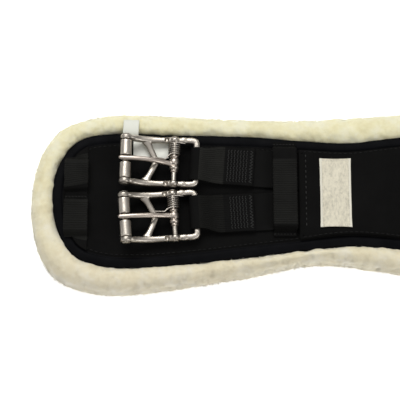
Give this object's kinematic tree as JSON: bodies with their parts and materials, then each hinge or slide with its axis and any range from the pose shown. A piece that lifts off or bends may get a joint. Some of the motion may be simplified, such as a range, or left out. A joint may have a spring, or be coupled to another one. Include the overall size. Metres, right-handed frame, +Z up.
{
  "type": "saddle girth",
  "caption": "Short dressage saddle girth: shaped fleece-lined pad with load webs, keepers and sprung roller buckles at both ends.",
  "frame": {"origin": "under the middle of the pad, at the centre of its outline, on the surface the fleece lies on", "axes": "+X along the girth towards its right end, +Y away from the elbow cut-outs, +Z up out of the buckle side"},
  "size_m": [0.7396, 0.1454, 0.0468],
  "materials": {
    "fleece": "matte",
    "lining": "matte",
    "foam": "matte",
    "cover": "matte",
    "webbing": "satin",
    "keeper_webbing": "satin",
    "woven_label": "matte",
    "satin_tape": "satin",
    "buckle_steel": "polished",
    "roller_steel": "polished",
    "spring_wire": "satin"
  },
  "bodies": {
    "root": {"fleece_liner": "fleece", "fleece_roll_left": "fleece", "fleece_roll_right": "fleece", "lining_cloth": "lining", "foam_core": "foam", "cover_top": "cover", "center_panel": "cover", "woven_label": "woven_label", "care_label": "satin_tape", "care_label_tab": "satin_tape", "far_load_web": "webbing", "near_load_web": "webbing", "left_outer_keeper": "keeper_webbing", "left_inner_keeper": "keeper_webbing", "right_outer_keeper": "keeper_webbing", "right_inner_keeper": "keeper_webbing"},
    "far_left_buckle": {"far_left_buckle_frame": "buckle_steel", "far_left_roller_pin": "buckle_steel", "far_left_tongue_pin": "buckle_steel", "far_left_tongue_spring": "spring_wire"},
    "far_left_tongue": {"far_left_tongue": "buckle_steel"},
    "far_left_sleeve_a": {"far_left_roller_sleeve_a": "roller_steel"},
    "far_left_sleeve_b": {"far_left_roller_sleeve_b": "roller_steel"},
    "near_left_buckle": {"near_left_buckle_frame": "buckle_steel", "near_left_roller_pin": "buckle_steel", "near_left_tongue_pin": "buckle_steel", "near_left_tongue_spring": "spring_wire"},
    "near_left_tongue": {"near_left_tongue": "buckle_steel"},
    "near_left_sleeve_a": {"near_left_roller_sleeve_a": "roller_steel"},
    "near_left_sleeve_b": {"near_left_roller_sleeve_b": "roller_steel"},
    "far_right_buckle": {"far_right_buckle_frame": "buckle_steel", "far_right_roller_pin": "buckle_steel", "far_right_tongue_pin": "buckle_steel", "far_right_tongue_spring": "spring_wire"},
    "far_right_tongue": {"far_right_tongue": "buckle_steel"},
    "far_right_sleeve_a": {"far_right_roller_sleeve_a": "roller_steel"},
    "far_right_sleeve_b": {"far_right_roller_sleeve_b": "roller_steel"},
    "near_right_buckle": {"near_right_buckle_frame": "buckle_steel", "near_right_roller_pin": "buckle_steel", "near_right_tongue_pin": "buckle_steel", "near_right_tongue_spring": "spring_wire"},
    "near_right_tongue": {"near_right_tongue": "buckle_steel"},
    "near_right_sleeve_a": {"near_right_roller_sleeve_a": "roller_steel"},
    "near_right_sleeve_b": {"near_right_roller_sleeve_b": "roller_steel"}
  },
  "joints": [
    {"name": "far_left_buckle_hinge", "type": "hinge", "parent": "root", "child": "far_left_buckle", "pos_m": [-0.24381, 0.02586, 0.0358], "axis": [0.0279, 0.9996, 0], "range_deg": [0, 75]},
    {"name": "far_left_tongue_hinge", "type": "hinge", "parent": "far_left_buckle", "child": "far_left_tongue", "pos_m": [-0.2605, 0.02633, 0.037], "axis": [0.0279, 0.9996, 0], "range_deg": [0, 100], "stiffness_Nm_per_rad": 0.01, "springref_deg": -34.38, "deforming": ["far_left_tongue_spring"]},
    {"name": "far_left_sleeve_a_spin", "type": "hinge", "parent": "far_left_buckle", "child": "far_left_sleeve_a", "pos_m": [-0.29729, 0.02736, 0.0418], "axis": [0.0279, 0.9996, 0], "continuous": true},
    {"name": "far_left_sleeve_b_spin", "type": "hinge", "parent": "far_left_buckle", "child": "far_left_sleeve_b", "pos_m": [-0.29729, 0.02736, 0.0418], "axis": [0.0279, 0.9996, 0], "continuous": true},
    {"name": "near_left_buckle_hinge", "type": "hinge", "parent": "root", "child": "near_left_buckle", "pos_m": [-0.24385, -0.01457, 0.0358], "axis": [-0.0698, 0.9976, 0], "range_deg": [0, 75]},
    {"name": "near_left_tongue_hinge", "type": "hinge", "parent": "near_left_buckle", "child": "near_left_tongue", "pos_m": [-0.26051, -0.01574, 0.037], "axis": [-0.0698, 0.9976, 0], "range_deg": [0, 100], "stiffness_Nm_per_rad": 0.01, "springref_deg": -34.38, "deforming": ["near_left_tongue_spring"]},
    {"name": "near_left_sleeve_a_spin", "type": "hinge", "parent": "near_left_buckle", "child": "near_left_sleeve_a", "pos_m": [-0.29722, -0.0183, 0.0418], "axis": [-0.0698, 0.9976, 0], "continuous": true},
    {"name": "near_left_sleeve_b_spin", "type": "hinge", "parent": "near_left_buckle", "child": "near_left_sleeve_b", "pos_m": [-0.29722, -0.0183, 0.0418], "axis": [-0.0698, 0.9976, 0], "continuous": true},
    {"name": "far_right_buckle_hinge", "type": "hinge", "parent": "root", "child": "far_right_buckle", "pos_m": [0.24381, 0.02586, 0.0358], "axis": [0.0279, -0.9996, 0], "range_deg": [0, 75]},
    {"name": "far_right_tongue_hinge", "type": "hinge", "parent": "far_right_buckle", "child": "far_right_tongue", "pos_m": [0.2605, 0.02633, 0.037], "axis": [0.0279, -0.9996, 0], "range_deg": [0, 100], "stiffness_Nm_per_rad": 0.01, "springref_deg": -34.38, "deforming": ["far_right_tongue_spring"]},
    {"name": "far_right_sleeve_a_spin", "type": "hinge", "parent": "far_right_buckle", "child": "far_right_sleeve_a", "pos_m": [0.29729, 0.02736, 0.0418], "axis": [0.0279, -0.9996, 0], "continuous": true},
    {"name": "far_right_sleeve_b_spin", "type": "hinge", "parent": "far_right_buckle", "child": "far_right_sleeve_b", "pos_m": [0.29729, 0.02736, 0.0418], "axis": [0.0279, -0.9996, 0], "continuous": true},
    {"name": "near_right_buckle_hinge", "type": "hinge", "parent": "root", "child": "near_right_buckle", "pos_m": [0.24385, -0.01457, 0.0358], "axis": [-0.0698, -0.9976, 0], "range_deg": [0, 75]},
    {"name": "near_right_tongue_hinge", "type": "hinge", "parent": "near_right_buckle", "child": "near_right_tongue", "pos_m": [0.26051, -0.01574, 0.037], "axis": [-0.0698, -0.9976, 0], "range_deg": [0, 100], "stiffness_Nm_per_rad": 0.01, "springref_deg": -34.38, "deforming": ["near_right_tongue_spring"]},
    {"name": "near_right_sleeve_a_spin", "type": "hinge", "parent": "near_right_buckle", "child": "near_right_sleeve_a", "pos_m": [0.29722, -0.0183, 0.0418], "axis": [-0.0698, -0.9976, 0], "continuous": true},
    {"name": "near_right_sleeve_b_spin", "type": "hinge", "parent": "near_right_buckle", "child": "near_right_sleeve_b", "pos_m": [0.29722, -0.0183, 0.0418], "axis": [-0.0698, -0.9976, 0], "continuous": true}
  ]
}
